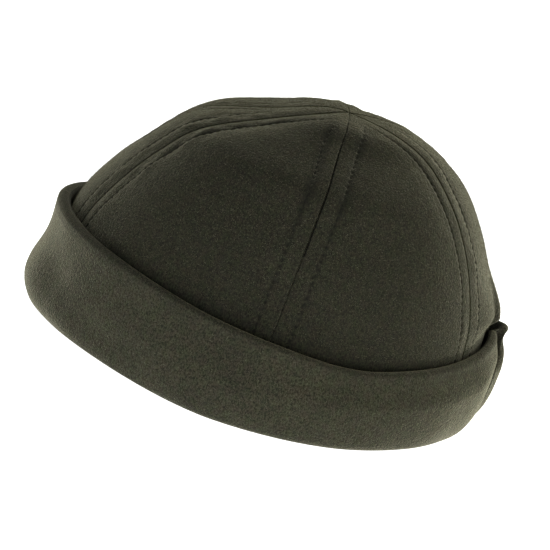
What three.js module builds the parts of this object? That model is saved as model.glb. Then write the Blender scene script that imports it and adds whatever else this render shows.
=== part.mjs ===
import * as THREE from 'three';

// A docker beanie: a brimless cap of thick felted wool with six crown panels and a turned-up cuff.
// Millimetres, +Z up, front towards -Y, the wearer's left towards +X. The origin is the middle of
// the rim, on the surface that the hat rests on. Azimuths are degrees from the front towards the left.

// Cloth
const CROWN_CLOTH = 2.2;
const CUFF_CLOTH = 4.2;
const JOIN_GAP = 0.3;

// Outer face of the crown, one row per level section. front, back and side are the section's reach
// from its own centre, which lies behind the origin by shift.
const CROWN_SECTIONS = [
  { height: 12, front: 98.5, back: 98.5, side: 87.5, shift: -1.6 },
  { height: 31, front: 100.5, back: 101, side: 85, shift: 0.2 },
  { height: 51, front: 99.4, back: 97.5, side: 80.2, shift: 2.1 },
  { height: 72, front: 90, back: 89, side: 73.8, shift: 4 },
  { height: 90, front: 77.7, back: 77.3, side: 65, shift: 5.8 },
  { height: 104, front: 63.3, back: 64.5, side: 55.5, shift: 7.2 },
  { height: 116, front: 33.8, back: 47, side: 31.8, shift: 8.5 },
  { height: 123, front: 12.4, back: 26.3, side: 19.3, shift: 9.4 },
  { height: 125, front: 0, back: 0, side: 0, shift: 9.7 },
];
const CROWN_ROWS_PER_SECTION = 2;

// The panels between the crown's six seams. puff is how far a panel's middle stands out.
const CROWN_PANELS = [
  { name: 'crown_panel_front', from: -16.4, to: 16.4, columns: 6, puff: 1.6 },
  { name: 'crown_panel_left_front', from: 16.4, to: 88.3, columns: 10, puff: 2.8 },
  { name: 'crown_panel_left_back', from: 88.3, to: 151.8, columns: 10, puff: 0.8 },
  { name: 'crown_panel_back', from: 151.8, to: 208.2, columns: 10, puff: 0.2 },
  { name: 'crown_panel_right_back', from: 208.2, to: 271.7, columns: 10, puff: 0.4 },
  { name: 'crown_panel_right_front', from: 271.7, to: 343.6, columns: 10, puff: 2.2 },
];
const CROWN_TIP_RADIUS = 1.5;
const PUFF_FADE_HEIGHT = 42;
const PUFF_ORIGIN_HEIGHT = -8;

// Oval of the rim, from which the cuff's reaches are measured outwards
const RIM_HALF_LENGTH = 101;
const RIM_HALF_WIDTH = 90;
const RIM_SHIFT = CROWN_SECTIONS[0].shift;

// Small upright fold in the middle of the back panel, just above the cuff
const BACK_FOLD = { azimuth: 180, reach: 3.4, halfWidth: 5, bottom: 28, peak: 48, top: 72 };

// Cuff, one row per azimuth, 45 degrees apart. height is its top edge, bulge its widest reach past
// the rim oval, at bulgeHeight, lip the reach of its top edge, and waist how far the wall draws in
// between them. strip is the reach of the strip along the rim's underside, and lift how far the
// cloth holds that off the surface before it settles.
const CUFF_SECTIONS = [
  { azimuth: 0, height: 49.6, bulge: 11, bulgeHeight: 9.8, lip: 5.4, waist: 2.4, strip: 2.7, lift: 0 },
  { azimuth: 45, height: 49.6, bulge: 4, bulgeHeight: 13.3, lip: 2.2, waist: 0.2, strip: -1.5, lift: 2.2 },
  { azimuth: 90, height: 42.7, bulge: 8.6, bulgeHeight: 17.2, lip: 3.7, waist: 0.3, strip: 2.7, lift: 0 },
  { azimuth: 135, height: 39.2, bulge: 10.8, bulgeHeight: 23, lip: 4.8, waist: 0.6, strip: 3.2, lift: 1.2 },
  { azimuth: 180, height: 43.5, bulge: 14.2, bulgeHeight: 28, lip: 7.4, waist: -1.2, strip: 3.8, lift: 0 },
  { azimuth: 225, height: 42, bulge: 10.8, bulgeHeight: 23, lip: 5, waist: 0.5, strip: 3.2, lift: 1.2 },
  { azimuth: 270, height: 41.2, bulge: 8.6, bulgeHeight: 17.2, lip: 3.7, waist: 0.3, strip: 2.7, lift: 0 },
  { azimuth: 315, height: 40.8, bulge: 4.4, bulgeHeight: 13, lip: 2.3, waist: 0.8, strip: -1.5, lift: 1.8 },
];
const CUFF_COLUMNS = ['height', 'bulge', 'bulgeHeight', 'lip', 'waist', 'strip', 'lift'];
const CUFF_STEPS = 60;

// The rim's own weight presses it down by this much, so that it lies flat where it rests
const RIM_SETTLING = 0.4;

// The cuff's inner leg, which carries the crown's lower edge, and the corner under it
const INNER_LEG_REACH = -2.5;
const INNER_LEG_TOP = CROWN_SECTIONS[0].height - JOIN_GAP;
const RIM_CORNER_RADIUS = 2.4;

// Space inside the turn-up: its lowest point and where its walls start
const FOLD_FLOOR = 2.8;
const FOLD_WALL_FOOT = 5.5;

// Corner of the cuff's back seam, which stands out a little at the top edge
const SEAM_CORNER = { azimuth: 180, reach: 4.2, rise: 1, depth: 7, halfWidth: 2.4 };
const SEAM_CORNER_AZIMUTHS = [-4, -2.6, -1.3, 1.3, 2.6, 4];

// Points along each stretch of the cuff's section
const CORNER_STEPS = 3;
const BULGE_STEPS = 5;
const WALL_STEPS = 6;
const LIP_STEPS = 4;

const WOOL = { color: 0x2f2f26, roughness: 0.95, metalness: 0 };

const { clamp, degToRad, euclideanModulo, lerp, radToDeg, smoothstep } = THREE.MathUtils;

// A smooth curve through evenly spaced values, in the stretch between start and end
function smoothJoin(before, start, end, after, along) {
  const linear = end - before;
  const square = 2 * before - 5 * start + 4 * end - after;
  const cube = 3 * start - before - 3 * end + after;
  return start + (linear * along + square * along ** 2 + cube * along ** 3) / 2;
}

// Section of the crown at a level counted in rows of its table. Past the top the rows are mirrored,
// so that the surface rounds over.
function crownSection(level) {
  const last = CROWN_SECTIONS.length - 1;
  const index = clamp(Math.floor(level), 0, last - 1);
  const section = {};
  for (const column of ['height', 'front', 'back', 'side', 'shift']) {
    const value = (row) => CROWN_SECTIONS[row][column];
    const mirror = column === 'height' || column === 'shift' ? 1 : -1;
    const before = index > 0 ? value(index - 1) : 2 * value(0) - value(1);
    const after = index + 2 <= last ? value(index + 2) : mirror * value(last - 1);
    section[column] = smoothJoin(before, value(index), value(index + 1), after, level - index);
  }
  return section;
}

function crownBase(azimuth, level) {
  const section = crownSection(level);
  const cosine = Math.cos(degToRad(azimuth));
  const sine = Math.sin(degToRad(azimuth));
  const reach = cosine > 0 ? section.front : section.back;
  return new THREE.Vector3(section.side * sine, section.shift - reach * cosine, section.height);
}

function crownOutward(azimuth, level) {
  const turn = 0.5;
  const rise = 0.02;
  const along = crownBase(azimuth + turn, level).sub(crownBase(azimuth - turn, level));
  const up = crownBase(azimuth, level + rise).sub(crownBase(azimuth, level - rise));
  return along.cross(up).normalize();
}

function backFold(azimuth, height) {
  const across = (azimuth - BACK_FOLD.azimuth) / BACK_FOLD.halfWidth;
  const rise = smoothstep(height, BACK_FOLD.bottom, BACK_FOLD.peak);
  const fall = 1 - smoothstep(height, BACK_FOLD.peak, BACK_FOLD.top);
  return BACK_FOLD.reach * Math.exp(-(across ** 2)) * rise * fall;
}

// Outer face of a panel: the crown's base surface, puffed out between the panel's seams
function panelPoint(panel, azimuth, level) {
  const point = crownBase(azimuth, level);
  const lowest = CROWN_SECTIONS[0];
  const across = (azimuth - panel.from) / (panel.to - panel.from);
  const narrowing = (crownSection(level).side / lowest.side) ** 0.7;
  const fade = smoothstep(point.z, lowest.height, lowest.height + PUFF_FADE_HEIGHT);
  const puff = panel.puff * Math.sin(Math.PI * across) * narrowing * fade;
  const spread = point.clone().setZ(point.z - PUFF_ORIGIN_HEIGHT).normalize();
  const fold = crownOutward(azimuth, level).multiplyScalar(backFold(azimuth, point.z));
  return point.addScaledVector(spread, puff).add(fold);
}

function panelInward(azimuth, level) {
  const inward = crownOutward(azimuth, level).negate();
  if (level === 0) {
    inward.setZ(0);
  }
  return inward.setLength(CROWN_CLOTH);
}

// Levels of the panels' rows, up to where they have narrowed to their tips
function crownLevels() {
  const last = CROWN_SECTIONS.length - 1;
  const levels = [];
  for (let row = 0; row < last * CROWN_ROWS_PER_SECTION; row += 1) {
    levels.push(row / CROWN_ROWS_PER_SECTION);
  }
  let tip = levels[levels.length - 1];
  while (crownSection(tip).front > CROWN_TIP_RADIUS) {
    tip += 0.005;
  }
  levels.push(tip);
  return levels;
}

// Triangles between neighbouring loops of points, each loop having the same number of points
function bandIndices(first, second, loopLength) {
  const indices = [];
  for (let column = 0; column < loopLength; column += 1) {
    const beside = (column + 1) % loopLength;
    const a = first * loopLength + column;
    const b = first * loopLength + beside;
    const c = second * loopLength + beside;
    const d = second * loopLength + column;
    indices.push(a, b, c, a, c, d);
  }
  return indices;
}

// Triangles over the end of a panel, between its outer and its inner face
function endIndices(start, columns, facesUp) {
  const indices = [];
  for (let column = 0; column < columns; column += 1) {
    const a = start + column;
    const b = a + 1;
    const d = start + 2 * columns + 1 - column;
    const c = d - 1;
    indices.push(...(facesUp ? [a, b, c, a, c, d] : [a, c, b, a, d, c]));
  }
  return indices;
}

function solidGeometry(loops, indices) {
  const geometry = new THREE.BufferGeometry().setFromPoints(loops.flat());
  geometry.setIndex(indices);
  geometry.computeVertexNormals();
  return geometry;
}

function panelGeometry(panel) {
  const loops = crownLevels().map((level) => {
    const section = crownSection(level);
    const radius = Math.min(section.side, section.front, section.back);
    const inset = radToDeg(JOIN_GAP / 2 / radius);
    const outer = [];
    const inner = [];
    for (let column = 0; column <= panel.columns; column += 1) {
      const azimuth = lerp(panel.from + inset, panel.to - inset, column / panel.columns);
      const point = panelPoint(panel, azimuth, level);
      outer.push(point);
      inner.unshift(point.clone().add(panelInward(azimuth, level)));
    }
    return [...outer, ...inner];
  });
  const loopLength = loops[0].length;
  const topStart = (loops.length - 1) * loopLength;
  const indices = endIndices(0, panel.columns, false);
  for (let row = 1; row < loops.length; row += 1) {
    indices.push(...bandIndices(row - 1, row, loopLength));
  }
  indices.push(...endIndices(topStart, panel.columns, true));
  return solidGeometry(loops, indices);
}

// Values of the cuff's table at an azimuth, with the corner of its back seam
function cuffSection(azimuth) {
  const count = CUFF_SECTIONS.length;
  const turned = euclideanModulo(azimuth, 360) / 360 * count;
  const index = Math.floor(turned);
  const section = {};
  for (const column of CUFF_COLUMNS) {
    const value = (step) => CUFF_SECTIONS[(index + step + count) % count][column];
    section[column] = smoothJoin(value(-1), value(0), value(1), value(2), turned - index);
  }
  const across = (azimuth - SEAM_CORNER.azimuth) / SEAM_CORNER.halfWidth;
  const corner = Math.exp(-(across ** 2));
  section.height += SEAM_CORNER.rise * corner;
  section.cornerReach = SEAM_CORNER.reach * corner;
  section.lift = Math.max(section.lift - RIM_SETTLING, 0);
  return section;
}

// Reach of the cuff's outer face past the rim oval: a quarter oval up to the bulge, then a smooth
// run up to the lip
function cuffReach(section, height) {
  if (height < section.bulgeHeight) {
    const below = (section.bulgeHeight - height) / (section.bulgeHeight - section.lift);
    return lerp(section.strip, section.bulge, Math.sqrt(1 - below ** 2));
  }
  const upward = smoothstep(height, section.bulgeHeight, section.height);
  const flare = smoothstep(height, section.height - SEAM_CORNER.depth, section.height);
  const drawnIn = section.waist * Math.sin(Math.PI * upward);
  return lerp(section.bulge, section.lip, upward) - drawnIn + section.cornerReach * flare;
}

// The cuff's section as a closed loop of reach and height
function cuffProfile(azimuth) {
  const section = cuffSection(azimuth);
  const { lift } = section;
  const shoulder = section.height - CUFF_CLOTH / 2;
  const profile = [];
  const add = (reach, height) => profile.push({ reach, height });
  const innerFace = INNER_LEG_REACH - CROWN_CLOTH;
  add(innerFace, INNER_LEG_TOP);
  for (let step = 0; step <= CORNER_STEPS; step += 1) {
    const angle = Math.PI / 2 * step / CORNER_STEPS;
    const corner = RIM_CORNER_RADIUS;
    add(innerFace + corner * (1 - Math.cos(angle)), lift + corner * (1 - Math.sin(angle)));
  }
  for (let step = 0; step <= BULGE_STEPS; step += 1) {
    const upward = 1 - Math.cos(Math.PI / 2 * step / BULGE_STEPS);
    const height = lerp(lift, section.bulgeHeight, upward);
    add(cuffReach(section, height), height);
  }
  for (let step = 1; step <= WALL_STEPS; step += 1) {
    const height = lerp(section.bulgeHeight, shoulder, step / WALL_STEPS);
    add(cuffReach(section, height), height);
  }
  const lipMiddle = cuffReach(section, shoulder) - CUFF_CLOTH / 2;
  for (let step = 1; step < LIP_STEPS; step += 1) {
    const angle = Math.PI * step / LIP_STEPS;
    const radius = CUFF_CLOTH / 2;
    add(lipMiddle + radius * Math.cos(angle), shoulder + radius * Math.sin(angle));
  }
  for (let step = 0; step <= WALL_STEPS; step += 1) {
    const height = lerp(shoulder, lift + FOLD_WALL_FOOT, step / WALL_STEPS);
    add(cuffReach(section, height) - CUFF_CLOTH, height);
  }
  const wallFoot = profile[profile.length - 1].reach;
  add(lerp(INNER_LEG_REACH, wallFoot, 0.8), lift + lerp(FOLD_FLOOR, FOLD_WALL_FOOT, 0.2));
  add(lerp(INNER_LEG_REACH, wallFoot, 0.4), lift + FOLD_FLOOR);
  add(INNER_LEG_REACH, lift + lerp(FOLD_FLOOR, FOLD_WALL_FOOT, 0.3));
  add(INNER_LEG_REACH, INNER_LEG_TOP);
  return profile;
}

function cuffGeometry() {
  const azimuths = SEAM_CORNER_AZIMUTHS.map((offset) => SEAM_CORNER.azimuth + offset);
  for (let step = 0; step < CUFF_STEPS; step += 1) {
    azimuths.push(360 * step / CUFF_STEPS);
  }
  azimuths.sort((a, b) => b - a);
  const loops = azimuths.map((azimuth) => cuffProfile(azimuth).map(({ reach, height }) => (
    new THREE.Vector3(
      (RIM_HALF_WIDTH + reach) * Math.sin(degToRad(azimuth)),
      RIM_SHIFT - (RIM_HALF_LENGTH + reach) * Math.cos(degToRad(azimuth)),
      height,
    )
  )));
  const indices = loops.flatMap((loop, row) => (
    bandIndices(row, (row + 1) % loops.length, loop.length)
  ));
  return solidGeometry(loops, indices);
}

function woolMesh(name, geometry) {
  const mesh = new THREE.Mesh(geometry, new THREE.MeshStandardMaterial(WOOL));
  mesh.name = name;
  return mesh;
}

const beanie = new THREE.Group();
for (const panel of CROWN_PANELS) {
  beanie.add(woolMesh(panel.name, panelGeometry(panel)));
}
beanie.add(woolMesh('cuff', cuffGeometry()));

export default beanie;
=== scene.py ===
import math

import bmesh
import bpy
import numpy as np
from mathutils import Matrix, Vector


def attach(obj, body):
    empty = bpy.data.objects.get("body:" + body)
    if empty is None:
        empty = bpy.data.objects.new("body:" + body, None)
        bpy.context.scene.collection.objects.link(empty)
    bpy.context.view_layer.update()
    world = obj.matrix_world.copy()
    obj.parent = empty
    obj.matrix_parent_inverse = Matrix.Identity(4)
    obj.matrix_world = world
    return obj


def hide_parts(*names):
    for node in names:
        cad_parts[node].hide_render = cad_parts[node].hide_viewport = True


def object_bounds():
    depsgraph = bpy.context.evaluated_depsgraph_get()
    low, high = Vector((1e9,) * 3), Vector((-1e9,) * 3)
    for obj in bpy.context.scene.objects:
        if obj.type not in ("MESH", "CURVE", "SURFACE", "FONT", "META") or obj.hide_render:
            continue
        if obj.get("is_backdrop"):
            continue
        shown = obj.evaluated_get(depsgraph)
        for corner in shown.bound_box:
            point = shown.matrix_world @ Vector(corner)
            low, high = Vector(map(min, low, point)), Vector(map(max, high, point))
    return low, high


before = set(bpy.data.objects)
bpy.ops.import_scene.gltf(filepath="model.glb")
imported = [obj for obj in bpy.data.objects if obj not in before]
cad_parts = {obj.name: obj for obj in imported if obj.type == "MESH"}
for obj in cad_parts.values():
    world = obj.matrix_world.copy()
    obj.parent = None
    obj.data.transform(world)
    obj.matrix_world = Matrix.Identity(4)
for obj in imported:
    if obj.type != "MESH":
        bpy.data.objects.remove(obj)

CAD_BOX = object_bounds()

# Lengths are millimetres, and azimuths degrees from the front (-Y) towards the wearer's left (+X).
# A pair of heights, widths or the like says where something starts to change, and where it is done.
MM = 0.001
TINY = 1e-6
NO_WIDTH = 0.001
WELD_DISTANCE_M = 0.00001
# The weights of the waves that make up a field of unevenness add up to this
WAVE_STRENGTH = 1.8

# Cloth, as in the CAD
CROWN_CLOTH = 2.2
CUFF_CLOTH = 4.2

# Outer face of the crown: height of each section, its reach to the front, back and side of its centre,
# and how far that centre lies behind the origin
CROWN_SECTIONS = np.array([
    (12, 98.5, 98.5, 87.5, -1.6),
    (31, 100.5, 101, 85, 0.2),
    (51, 99.4, 97.5, 80.2, 2.1),
    (72, 90, 89, 73.8, 4),
    (90, 77.7, 77.3, 65, 5.8),
    (104, 63.3, 64.5, 55.5, 7.2),
    (116, 33.8, 47, 31.8, 8.5),
    (123, 12.4, 26.3, 19.3, 9.4),
    (125, 0, 0, 0, 9.7),
], float)
TOP_LEVEL = len(CROWN_SECTIONS) - 1

# Panels between the crown's seams: CAD node, azimuths of its seams, how far its middle stands out, and
# how strongly the stitching draws in the cloth at its first and at its second seam
CROWN_PANELS = (
    ("crown_panel_front", -16.4, 16.4, 1.6, 0.5, 0.5),
    ("crown_panel_left_front", 16.4, 88.3, 2.8, 0.8, 1.0),
    ("crown_panel_left_back", 88.3, 151.8, 0.8, 1.0, 0.5),
    ("crown_panel_back", 151.8, 208.2, 0.2, 0.5, 0.5),
    ("crown_panel_right_back", 208.2, 271.7, 0.4, 0.5, 1.0),
    ("crown_panel_right_front", 271.7, 343.6, 2.2, 1.0, 0.5),
)
PUFF_HEIGHTS = (12, 54)
PUFF_ORIGIN = -8
PUFF_POWER = 0.7

# Fullness at the back, over the turn-up's lip: a broad swell, and a narrow ridge on its far side,
# which has its own half width on each side
SWELL_REACH = 4.0
SWELL_AZIMUTH = 169
SWELL_WIDTH = 12
SWELL_RISE = (43, 53)
SWELL_FALL = (50, 74)
RIDGE_REACH = 6.6
RIDGE_AZIMUTH = 181
RIDGE_WIDTHS = (2.0, 4.5)
RIDGE_RISE = 7
RIDGE_PEAK = 46
RIDGE_FADE = 30
FADE_POWER = 1.7

# Shallow dents in the crown's top and front, and one place that stands out: middle, radius, depth
CROWN_DENTS = (
    (-12, -26, 119, 24, 1.6),
    (-14, -75, 86, 11, 1.1),
    (-39, -30, 107.5, 12, 0.7),
    (-27, -8, 117, 10, -1.2),
    (-18, 21, 122.5, 10, 1.1),
)

# Rows of topstitching beside each seam: distance, pitch, and the panel's width and height at the ends
ROW_OFFSET = 7.75
STITCH_PITCH = 3.4
ROW_TOP_WIDTH = 18.0
ROW_FOOT_HEIGHT = 30.0

# The sewing tightens towards the top, eases just under it, and fades where the panels get narrow
TIGHT_HEIGHTS = (78, 106)
EASED_HEIGHTS = (114, 123)
EASING = 0.5
SEWN_WIDTHS = (9, 30)

# Relief beside a seam. A pair holds a measure low on the crown, and what it gains where it is tight.
GROOVE_DEPTH = (1.0, 0.6)
GROOVE_WIDTH = 0.27
GROOVE_POWER = 1.7
PAD_HEIGHT = (0.04, 0.14)
PAD_POWER = 1.2
CREASE_DEPTH = (0.07, 0.16)
CREASE_WIDTH = 0.8
VALLEY_DEPTH = (0.05, 0.4)
INNER_FLANK = 2.2
OUTER_FLANK = (2.6, 3.0)
HOLE_DEPTH = 0.5
HOLE_WIDTH = 0.5

# How far the sewing presses down the nap, with painted shade in the stitching's valleys and needle
# holes, in the same kind of pairs
PRESSED_SHADE_SHARE = (0.12, 0.58)
PRESSED_SHADE_WIDTH = (0.9, 1.6)
MOST_PRESSED_SHADE = 0.9
HOLE_SHADE_TURNS = (0.2, 0.8)
HOLE_SHADE_WIDTH = 0.8

# Puckers beside the seams, stronger in front towards the top, and lumps all over
PUCKER = 0.24
PUCKER_OFFSET = 6.5
PUCKER_WIDTH = 6.0
FRONT_PUCKER = 0.3
AHEAD_COSINES = (0.75, 0.95)
AHEAD_HEIGHTS = (62, 85)
FREE_OF_SEAM = (0.4, 5)
CROWN_SOFT_LUMPS = 0.3
CROWN_FINE_LUMPS = 0.02

# Inner face of a panel: the seam allowances' edge, and the most that it follows the outer relief
ALLOWANCE_EDGE = (8.4, 9.2)
ALLOWANCE_WIDTHS = (4, 20)
MOST_SAG = 0.4

# Mesh of a panel: distances of its columns from a seam, and the spacing of the rest
SEAM_COLUMNS = np.array([
    0.03, 0.22, 0.45, 0.75, 1.1, 1.55, 2.1, 2.75, 3.4, 4.05, 4.7, 5.3, 5.8, 6.25, 6.65, 7.0,
    7.3, 7.53, 7.75, 7.97, 8.2, 8.5, 8.9, 9.4, 10.0, 10.7, 11.5, 12.4,
])
ROW_SPACING = 0.8
ROW_AZIMUTH = 60.0
LEVEL_SAMPLES = 4001
WIDTH_SAMPLES = 41
MIDDLE_SPACING = 1.6
LEAST_SPACING = 0.35
INNER_STEP = 3

# Painted shade deep in the seams, on a dark wool without sheen: how wide and up to what height. The
# seam on the wearer's left side is more open.
SEAM_SHADE_WIDTH = 0.2
SEAM_SHADE_TOP = 119
OPEN_SEAM = 88.3
OPEN_WIDTHS = (0.32, 0.42)
OPEN_HEIGHTS = (70, 100)
OPEN_TOP = 124.4

# Painted shade on the crown just over the turn-up: how dark, up to what height over the lip, and how
# little of it there is in front. Its darkest part also gets a less glossy copy of the wool, which
# paints shade too.
FOLD_SHADE = 0.12
SHADE_HEIGHTS = (0.0, 4.0)
SHADE_IN_FRONT = 0.15
SHADE_AZIMUTHS = (18, 48)
IN_FOLD_SHARE = 0.7

# Oval of the rim, from which the cuff's reaches are measured outwards
RIM_HALF_LENGTH = 101
RIM_HALF_WIDTH = 90
RIM_SHIFT = -1.6
RIM_SETTLING = 0.4

# Cuff, one row per 45 degrees: height of its top edge, bulge, height of the bulge, reach of its lip,
# waist, reach of the strip under the rim, and lift of that strip
CUFF_SECTIONS = np.array([
    (49.6, 11, 9.8, 5.4, 2.4, 3.0, 0),
    (49.6, 4, 13.3, 2.2, 0.2, 0.5, 2.1),
    (42.7, 8.6, 17.2, 3.7, 0.3, 3.8, 0),
    (39.2, 10.8, 23, 4.8, 0.6, 5.9, 0.9),
    (43.5, 14.2, 28, 8.8, -1.2, 4.4, 0),
    (42, 10.8, 23, 5, 0.5, 5.2, 1.0),
    (41.2, 8.6, 17.2, 3.7, 0.3, 4.2, 0),
    (40.8, 4.4, 13, 2.3, 0.8, 0.5, 1.8),
], float)
# The lip is fuller than the cloth below it: all round, and in front, by the azimuth's cosine
LIP_FULLNESS = (1.0, 2.2)
FULL_COSINES = (0.8, 0.98)
FULL_DEPTH = 9
# The turned-up edge dips a little on the wearer's left: how far, where, and half its width
LIP_DIP = 2.6
LIP_DIP_AZIMUTH = 112
LIP_DIP_WIDTH = 16

# Inside of the cuff: the leg that carries the crown, and the floor of the fold between the leg and
# the turn-up, as shares of the way outwards and heights over the strip
LEG_REACH = -2.5
LEG_TOP = 11.7
LEG_FOOT = 4.4
CORNER_RADIUS = 2.4
FOLD_WALL_FOOT = 5.5
FOLD_FLOOR = ((0.8, 3.3), (0.4, 2.8), (0.0, 3.6))

# Mesh of the cuff: points along its leg, corner, strip, bulge, face, lip, wall and the leg's back, and
# columns round it
CUFF_POINTS = (7, 7, 4, 19, 25, 12, 15, 5)
CUFF_COLUMNS = 480
# How much faster than the bulge the relief grows to its full depth
RELIEF_GROWTH = 2.5

# Back seam of the cuff. Below the lip it leans towards the wearer's left.
SEAM_AZIMUTH = 178.2
SEAM_LEAN = 12
SEAM_LEAN_HEIGHTS = (30, 43)
SEAM_LEAN_WIDTH = 20
SEAM_ARC_RADIUS = 111
SEAM_OFFSETS = np.array([0.07, 0.18, 0.3, 0.45, 0.65, 0.9, 1.2, 1.5, 1.9, 2.3, 2.8, 3.4, 4])
SEAM_REACH = 4.2
NEAR_DIP = 2.4
NEAR_DIP_WIDTH = 9
FAR_DIP = 1.2
FAR_RISE = 1.6
FAR_WIDTH = 7
FAR_FADE = 12
CUT_DEPTH = 0.9
CUT_WIDTH = 0.6
CUT_POWER = 1.3

# Flap at the top of that seam, steep on the near side
FLAP_NEAR = (177.6, 179.6)
FLAP_FAR = (181.4, 185.5)
FLAP_REACH = 5.4
FLAP_RISE = 1.0
FLAP_DEPTH = 7

# Soft dents in the cuff: azimuth, height, half width along, half height, depth
CUFF_DENTS = (
    (24, 22, 9, 9, 1.3),
    (48, 13, 14, 7, 1.0),
    (330, 24, 12, 10, 1.0),
    (215, 18, 12, 8, 0.8),
)
CUFF_SOFT_LUMPS = 0.55
CUFF_FINE_LUMPS = 0.08
CUFF_LUMP_SCALE = 0.8

# Parts of the cuff with their own, less glossy copy of the wool, which paints shade on the lip, near it
# and behind it, all above LIP_ZONE. The share of relief falls from 1 to 0 over the lip, and the depths
# are measured from its top.
LIP_ZONE = 25
LIP_SHARE = 0.95
BEHIND_SHARE = 0.35
LIP_FACE_DEPTH = -2.2
NEAR_LIP_DEPTH = -6

# Painted shade on the cuff: behind the lip, on it, just under it, in front, and beyond the back seam
BEHIND_SHADE = 0.75
LIGHTENING = 0.6
LIGHTENED_SHARES = (0, 0.7)
BEHIND_HEIGHTS = (14, 22)
FACE_SHARE = 0.99
LIP_SHADE = 0.26
LIP_FRONT_SHADE = 0.06
FRONT_COSINES = (-0.2, 0.7)
UNDER_SHADE = 0.22
UNDER_DEPTHS = (-6, -1.5)
FRONT_SHADE = 0.1
FRONT_DEPTHS = (-16, -3)
BEYOND_SHADE = 0.1
BEYOND_START = (0.2, 1.2)
BEYOND_END = (7, 12)

# Thread of the topstitching
STITCH_POINTS = 7
THREAD_SIDES = 6
THREAD_DEPTH = 0.45
THREAD_RISE = 0.4
THREAD_POWER = 0.6
THREAD_CURVE = 0.75
THREAD_RADIUS = 0.2
THREAD_SWELL = 0.09

# Nap: how many fibres, their seeds, and a fibre's angle, length, radius and root
CROWN_FIBRES = 46000
CUFF_FIBRES = 48000
FRONT_SEED = 21
BACK_SEED = 22
CUFF_SEED = 23
NAP_RISE = (25, 85)
NAP_LENGTH = (0.3, 1.1)
LENGTH_POWER = 1.5
NAP_RADIUS = 0.06
NAP_RIDGE = 1.5
NAP_ROOT = 0.05
TONE_POWER = 2
# Where it grows, by the seams, the rim, the sewing with its painted shade, the fold's painted shade and
# the cuff's share of relief
NAP_SEAM_GAP = 0.7
NAP_FIRST_LEVEL = 0.5
NAP_MOST_PRESSED_SHADE = 0.2
NAP_MOST_SHADE = 0.35
NAP_LIP_SHARE = 0.3

# Colours of the wool: between its tufts, on them, and of single fibres
CROWN_COLOURS = ((0.005, 0.0049, 0.0026, 1), (0.029, 0.0286, 0.0163, 1), (0.08, 0.078, 0.045, 1))
CUFF_COLOURS = ((0.0087, 0.0086, 0.0048, 1), (0.0435, 0.0427, 0.0248, 1), (0.108, 0.105, 0.065, 1))
GREENER = (0.93, 1.05, 0.89, 1)
BROWNER = (1.08, 0.965, 1.0, 1)
# Nap that the sewing presses down, and painted shade, darken the wool towards this
PRESSED_AND_SHADE_COLOUR = (0.003, 0.003, 0.002, 1)
CROWN_NAP_COLOURS = ((0.045, 0.0435, 0.025, 1), (0.24, 0.234, 0.152, 1))
CUFF_NAP_COLOURS = ((0.052, 0.0505, 0.029, 1), (0.28, 0.272, 0.178, 1))
# Painted shade deep in the seams
SEAM_SHADE_COLOURS = ((0.004, 0.004, 0.003, 1), (0.012, 0.012, 0.008, 1))
THREAD_COLOURS = ((0.006, 0.006, 0.004, 1), (0.018, 0.018, 0.012, 1))
FLOOR_COLOURS = ((0.86, 0.86, 0.86, 1), (0.88, 0.88, 0.88, 1))

# Sheen of the wool on open cloth, and lower sheen on copies of it that paint shade: in the fold over
# the turn-up and behind its lip, on the lip and near it
OPEN_SHEEN = 0.6
CROWN_FOLD_SHEEN = 0.25
LIP_SHEEN = 0.33
NEAR_LIP_SHEEN = 0.43
CUFF_FOLD_SHEEN = 0.1
SHEEN_ROUGHNESS = 0.3
SHEEN_TINT = (1.0, 0.96, 0.66, 1.0)

# Camera, as fitted to the photograph: pivot, azimuth, elevation and roll, distance, scale at the pivot
PIVOT = Vector((0, -1.6, 58))
CAMERA_ANGLES = (84.3, 20.9, 17.5)
CAMERA_DISTANCE = 1360
PIXELS_PER_MM = 2.15
PICTURE_WIDTH = 550
PIVOT_PIXEL = (284.3, 237.0)

# Lights: name, place in metres, strength, colour. All of them are discs that face the hat.
LIGHTS = (
    ("front_high", (0.3, -1.2, 1.4), 3.5, (0.99, 1.0, 0.94)),
    ("back_low", (0.2, 1.6, 0.4), 9.0, (1.04, 0.985, 0.76)),
    ("overhead", (0.0, 0.0, 1.8), 1.5, (1.0, 0.99, 0.93)),
    ("side_low", (1.7, 0.0, 0.3), 17.5, (0.975, 1.0, 1.08)),
    ("far_high", (-1.4, 0.0, 1.0), 10.0, (1.0, 0.98, 0.85)),
    ("back_far", (-1.0, 1.2, 0.8), 14.0, (1.0, 0.98, 0.8)),
)
LIGHT_WIDTH_M = 1.1
LIGHT_AIM_M = Vector((0, 0, 0.05))
WORLD_STRENGTH = 0.02

FLOOR_GLOW = 1.2
FLOOR_REACH = 3000
BACKDROP_RADIUS = 2900
BACKDROP_HEIGHT = 2000
BACKDROP_SIDES = 48


def smoothstep(value, low, high):
    part = np.clip((value - low) / (high - low), 0, 1)
    return part * part * (3 - 2 * part)


def between(pair, share):
    return pair[0] + (pair[1] - pair[0]) * share


def bell(value, width):
    return np.exp(-((value / width) ** 2))


def unit(vectors):
    return vectors / np.maximum(np.linalg.norm(vectors, axis=-1, keepdims=True), 1e-9)


def smooth_join(before, start, end, after, along):
    """A smooth curve through evenly spaced values, in the stretch between start and end."""
    linear = end - before
    square = 2 * before - 5 * start + 4 * end - after
    cube = 3 * start - before - 3 * end + after
    return start + (linear * along + square * along**2 + cube * along**3) / 2


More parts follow.
